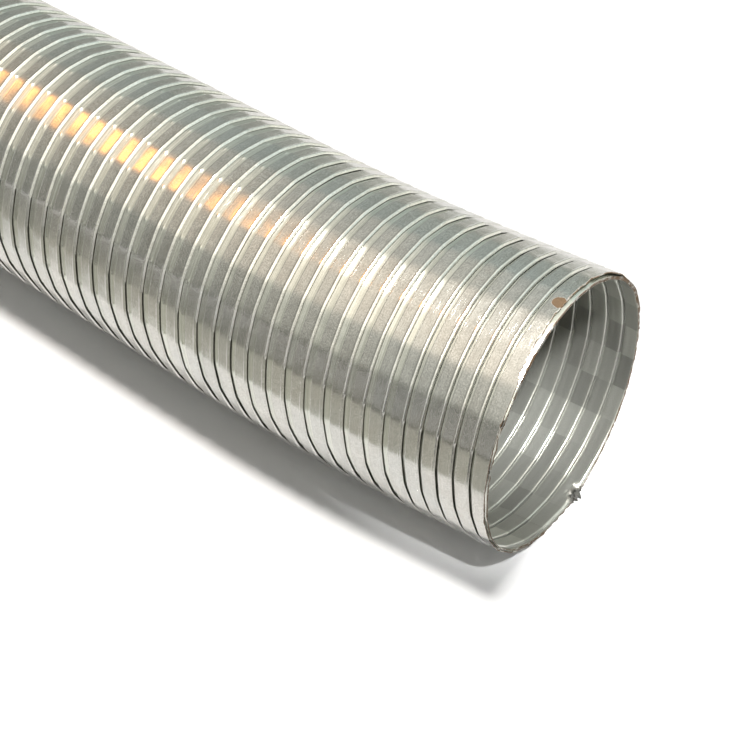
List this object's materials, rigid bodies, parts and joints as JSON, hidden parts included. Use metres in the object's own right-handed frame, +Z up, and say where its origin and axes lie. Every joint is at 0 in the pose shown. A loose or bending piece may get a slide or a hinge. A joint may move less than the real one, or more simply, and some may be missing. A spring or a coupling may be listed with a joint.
{
  "type": "flexible air duct",
  "caption": "Flexible metal air duct wound from a hooked steel strip into a many-sided tube whose turns slide and tilt in each other, so that it bends and stretches.",
  "frame": {"origin": "centre of the duct's near end (the mouth), in the plane of the cut", "axes": "+X out of the mouth along the duct, +Z up as it lies on a floor; the duct runs towards -X and bends towards +Y"},
  "size_m": [0.3158, 0.1298, 0.104],
  "materials": {
    "galvanised_strip": "dull galvanised, with a fine spangle",
    "cut_strip": "dull galvanised, rusty along the sawn edge"
  },
  "bodies": {
    "turn_01": {"turn_01": "cut_strip"},
    "turn_02": {"turn_02": "cut_strip"},
    "turn_03": {"turn_03": "galvanised_strip"},
    "turn_04": {"turn_04": "galvanised_strip"},
    "turn_05": {"turn_05": "galvanised_strip"},
    "turn_06": {"turn_06": "galvanised_strip"},
    "turn_07": {"turn_07": "galvanised_strip"},
    "turn_08": {"turn_08": "galvanised_strip"},
    "turn_09": {"turn_09": "galvanised_strip"},
    "turn_10": {"turn_10": "galvanised_strip"},
    "turn_11": {"turn_11": "galvanised_strip"},
    "turn_12": {"turn_12": "galvanised_strip"},
    "turn_13": {"turn_13": "galvanised_strip"},
    "turn_14": {"turn_14": "galvanised_strip"},
    "turn_15": {"turn_15": "galvanised_strip"},
    "turn_16": {"turn_16": "galvanised_strip"},
    "turn_17": {"turn_17": "galvanised_strip"},
    "turn_18": {"turn_18": "galvanised_strip"},
    "turn_19": {"turn_19": "galvanised_strip"},
    "turn_20": {"turn_20": "galvanised_strip"},
    "turn_21": {"turn_21": "galvanised_strip"},
    "turn_22": {"turn_22": "galvanised_strip"},
    "turn_23": {"turn_23": "galvanised_strip"},
    "turn_24": {"turn_24": "galvanised_strip"},
    "turn_25": {"turn_25": "galvanised_strip"},
    "turn_26": {"turn_26": "galvanised_strip"},
    "turn_27": {"turn_27": "galvanised_strip"},
    "turn_28": {"turn_28": "galvanised_strip"},
    "turn_29": {"turn_29": "galvanised_strip"},
    "turn_30": {"turn_30": "galvanised_strip"},
    "turn_31": {"turn_31": "galvanised_strip"},
    "turn_32": {"turn_32": "galvanised_strip"},
    "turn_33": {"turn_33": "galvanised_strip"},
    "turn_34": {"turn_34": "galvanised_strip"},
    "turn_35": {"turn_35": "galvanised_strip"},
    "turn_36": {"turn_36": "galvanised_strip"},
    "turn_37": {"turn_37": "galvanised_strip"},
    "turn_38": {"turn_38": "galvanised_strip"}
  },
  "joints": [
    {"name": "mouth_stretch", "type": "slide", "parent": "turn_01", "child": "turn_02", "axis": [-1, 0, 0], "range_m": [-0.0006, 0.0025]},
    {"name": "mouth_stretch_02", "type": "slide", "parent": "turn_02", "child": "turn_03", "axis": [-1, 0, 0], "range_m": [-0.0006, 0.0025]},
    {"name": "mouth_stretch_03", "type": "slide", "parent": "turn_03", "child": "turn_04", "axis": [-1, 0, 0], "range_m": [-0.0006, 0.0025]},
    {"name": "mouth_stretch_04", "type": "slide", "parent": "turn_04", "child": "turn_05", "axis": [-1, 0, 0], "range_m": [-0.0006, 0.0025]},
    {"name": "mouth_stretch_05", "type": "slide", "parent": "turn_05", "child": "turn_06", "axis": [-1, 0, 0], "range_m": [-0.0006, 0.0025]},
    {"name": "mouth_stretch_06", "type": "slide", "parent": "turn_06", "child": "turn_07", "axis": [-1, 0.0029, 0], "range_m": [-0.0006, 0.0025]},
    {"name": "side_bend", "type": "hinge", "parent": "turn_07", "child": "turn_08", "pos_m": [-0.04435, 0.00006, 0], "axis": [0, 0, 1], "range_deg": [-1.25, 1.25]},
    {"name": "up_bend", "type": "hinge", "parent": "turn_08", "child": "turn_09", "pos_m": [-0.05215, 0.00019, 0], "axis": [0.0207, 0.9998, 0], "range_deg": [-1.25, 1.25]},
    {"name": "side_bend_02", "type": "hinge", "parent": "turn_09", "child": "turn_10", "pos_m": [-0.05995, 0.00038, 0], "axis": [0, 0, 1], "range_deg": [-1.25, 1.25]},
    {"name": "side_bend_03", "type": "hinge", "parent": "turn_10", "child": "turn_11", "pos_m": [-0.06824, 0.00067, 0], "axis": [0, 0, 1], "range_deg": [-1.25, 1.25]},
    {"name": "up_bend_02", "type": "hinge", "parent": "turn_11", "child": "turn_12", "pos_m": [-0.07653, 0.00103, 0], "axis": [0.0486, 0.9988, 0], "range_deg": [-1.25, 1.25]},
    {"name": "side_bend_04", "type": "hinge", "parent": "turn_12", "child": "turn_13", "pos_m": [-0.08482, 0.00147, 0], "axis": [0, 0, 1], "range_deg": [-1.25, 1.25]},
    {"name": "side_bend_05", "type": "hinge", "parent": "turn_13", "child": "turn_14", "pos_m": [-0.0931, 0.002, 0], "axis": [0, 0, 1], "range_deg": [-1.25, 1.25]},
    {"name": "up_bend_03", "type": "hinge", "parent": "turn_14", "child": "turn_15", "pos_m": [-0.10138, 0.0026, 0], "axis": [0.0769, 0.997, 0], "range_deg": [-1.25, 1.25]},
    {"name": "side_bend_06", "type": "hinge", "parent": "turn_15", "child": "turn_16", "pos_m": [-0.10906, 0.00322, 0], "axis": [0, 0, 1], "range_deg": [-1.25, 1.25]},
    {"name": "side_bend_07", "type": "hinge", "parent": "turn_16", "child": "turn_17", "pos_m": [-0.11673, 0.00392, 0], "axis": [0, 0, 1], "range_deg": [-1.25, 1.25]},
    {"name": "up_bend_04", "type": "hinge", "parent": "turn_17", "child": "turn_18", "pos_m": [-0.12439, 0.00468, 0], "axis": [0.1032, 0.9947, 0], "range_deg": [-1.25, 1.25]},
    {"name": "side_bend_08", "type": "hinge", "parent": "turn_18", "child": "turn_19", "pos_m": [-0.13345, 0.00566, 0], "axis": [0, 0, 1], "range_deg": [-0.62, 0.62]},
    {"name": "up_bend_05", "type": "hinge", "parent": "turn_19", "child": "turn_20", "pos_m": [-0.14252, 0.00671, 0], "axis": [0.115, 0.9934, 0], "range_deg": [-0.62, 0.62]},
    {"name": "side_bend_09", "type": "hinge", "parent": "turn_20", "child": "turn_21", "pos_m": [-0.15157, 0.00776, 0], "axis": [0, 0, 1], "range_deg": [-1.25, 1.25]},
    {"name": "far_stretch", "type": "slide", "parent": "turn_21", "child": "turn_22", "axis": [-0.9934, 0.115, 0], "range_m": [-0.003, 0.0011]},
    {"name": "side_bend_10", "type": "hinge", "parent": "turn_22", "child": "turn_23", "pos_m": [-0.16969, 0.00986, 0], "axis": [0, 0, 1], "range_deg": [-1.25, 1.25]},
    {"name": "far_stretch_02", "type": "slide", "parent": "turn_23", "child": "turn_24", "axis": [-0.9934, 0.115, 0], "range_m": [-0.003, 0.0011]},
    {"name": "side_bend_11", "type": "hinge", "parent": "turn_24", "child": "turn_25", "pos_m": [-0.18781, 0.01196, 0], "axis": [0, 0, 1], "range_deg": [-1.25, 1.25]},
    {"name": "up_bend_06", "type": "hinge", "parent": "turn_25", "child": "turn_26", "pos_m": [-0.19687, 0.01301, 0], "axis": [0.115, 0.9934, 0], "range_deg": [-1.25, 1.25]},
    {"name": "side_bend_12", "type": "hinge", "parent": "turn_26", "child": "turn_27", "pos_m": [-0.20593, 0.01406, 0], "axis": [0, 0, 1], "range_deg": [-1.25, 1.25]},
    {"name": "far_stretch_03", "type": "slide", "parent": "turn_27", "child": "turn_28", "axis": [-0.9934, 0.115, 0], "range_m": [-0.003, 0.0011]},
    {"name": "side_bend_13", "type": "hinge", "parent": "turn_28", "child": "turn_29", "pos_m": [-0.22405, 0.01615, 0], "axis": [0, 0, 1], "range_deg": [-1.25, 1.25]},
    {"name": "up_bend_07", "type": "hinge", "parent": "turn_29", "child": "turn_30", "pos_m": [-0.23311, 0.0172, 0], "axis": [0.115, 0.9934, 0], "range_deg": [-1.25, 1.25]},
    {"name": "side_bend_14", "type": "hinge", "parent": "turn_30", "child": "turn_31", "pos_m": [-0.24217, 0.01825, 0], "axis": [0, 0, 1], "range_deg": [-1.25, 1.25]},
    {"name": "far_stretch_04", "type": "slide", "parent": "turn_31", "child": "turn_32", "axis": [-0.9934, 0.115, 0], "range_m": [-0.003, 0.0011]},
    {"name": "side_bend_15", "type": "hinge", "parent": "turn_32", "child": "turn_33", "pos_m": [-0.26029, 0.02035, 0], "axis": [0, 0, 1], "range_deg": [-1.25, 1.25]},
    {"name": "up_bend_08", "type": "hinge", "parent": "turn_33", "child": "turn_34", "pos_m": [-0.26935, 0.0214, 0], "axis": [0.115, 0.9934, 0], "range_deg": [-1.25, 1.25]},
    {"name": "side_bend_16", "type": "hinge", "parent": "turn_34", "child": "turn_35", "pos_m": [-0.27841, 0.02245, 0], "axis": [0, 0, 1], "range_deg": [-1.25, 1.25]},
    {"name": "far_stretch_05", "type": "slide", "parent": "turn_35", "child": "turn_36", "axis": [-0.9934, 0.115, 0], "range_m": [-0.003, 0.0011]},
    {"name": "side_bend_17", "type": "hinge", "parent": "turn_36", "child": "turn_37", "pos_m": [-0.29652, 0.02455, 0], "axis": [0, 0, 1], "range_deg": [-1.25, 1.25]},
    {"name": "up_bend_09", "type": "hinge", "parent": "turn_37", "child": "turn_38", "pos_m": [-0.30558, 0.0256, 0], "axis": [0.115, 0.9934, 0], "range_deg": [-1.25, 1.25]}
  ],
  "couplings": [
    {"joint": "mouth_stretch_02", "follows": "mouth_stretch", "ratio": 1},
    {"joint": "mouth_stretch_03", "follows": "mouth_stretch", "ratio": 1},
    {"joint": "mouth_stretch_04", "follows": "mouth_stretch", "ratio": 1},
    {"joint": "mouth_stretch_05", "follows": "mouth_stretch", "ratio": 1},
    {"joint": "mouth_stretch_06", "follows": "mouth_stretch", "ratio": 1},
    {"joint": "side_bend_02", "follows": "side_bend", "ratio": 1},
    {"joint": "side_bend_03", "follows": "side_bend", "ratio": 1},
    {"joint": "up_bend_02", "follows": "up_bend", "ratio": 1},
    {"joint": "side_bend_04", "follows": "side_bend", "ratio": 1},
    {"joint": "side_bend_05", "follows": "side_bend", "ratio": 1},
    {"joint": "up_bend_03", "follows": "up_bend", "ratio": 1},
    {"joint": "side_bend_06", "follows": "side_bend", "ratio": 1},
    {"joint": "side_bend_07", "follows": "side_bend", "ratio": 1},
    {"joint": "up_bend_04", "follows": "up_bend", "ratio": 1},
    {"joint": "side_bend_08", "follows": "side_bend", "ratio": 0.5},
    {"joint": "up_bend_05", "follows": "up_bend", "ratio": 0.5},
    {"joint": "side_bend_09", "follows": "side_bend", "ratio": 1},
    {"joint": "side_bend_10", "follows": "side_bend", "ratio": 1},
    {"joint": "far_stretch_02", "follows": "far_stretch", "ratio": 1},
    {"joint": "side_bend_11", "follows": "side_bend", "ratio": 1},
    {"joint": "up_bend_06", "follows": "up_bend", "ratio": 1},
    {"joint": "side_bend_12", "follows": "side_bend", "ratio": 1},
    {"joint": "far_stretch_03", "follows": "far_stretch", "ratio": 1},
    {"joint": "side_bend_13", "follows": "side_bend", "ratio": 1},
    {"joint": "up_bend_07", "follows": "up_bend", "ratio": 1},
    {"joint": "side_bend_14", "follows": "side_bend", "ratio": 1},
    {"joint": "far_stretch_04", "follows": "far_stretch", "ratio": 1},
    {"joint": "side_bend_15", "follows": "side_bend", "ratio": 1},
    {"joint": "up_bend_08", "follows": "up_bend", "ratio": 1},
    {"joint": "side_bend_16", "follows": "side_bend", "ratio": 1},
    {"joint": "far_stretch_05", "follows": "far_stretch", "ratio": 1},
    {"joint": "side_bend_17", "follows": "side_bend", "ratio": 1},
    {"joint": "up_bend_09", "follows": "up_bend", "ratio": 1}
  ]
}
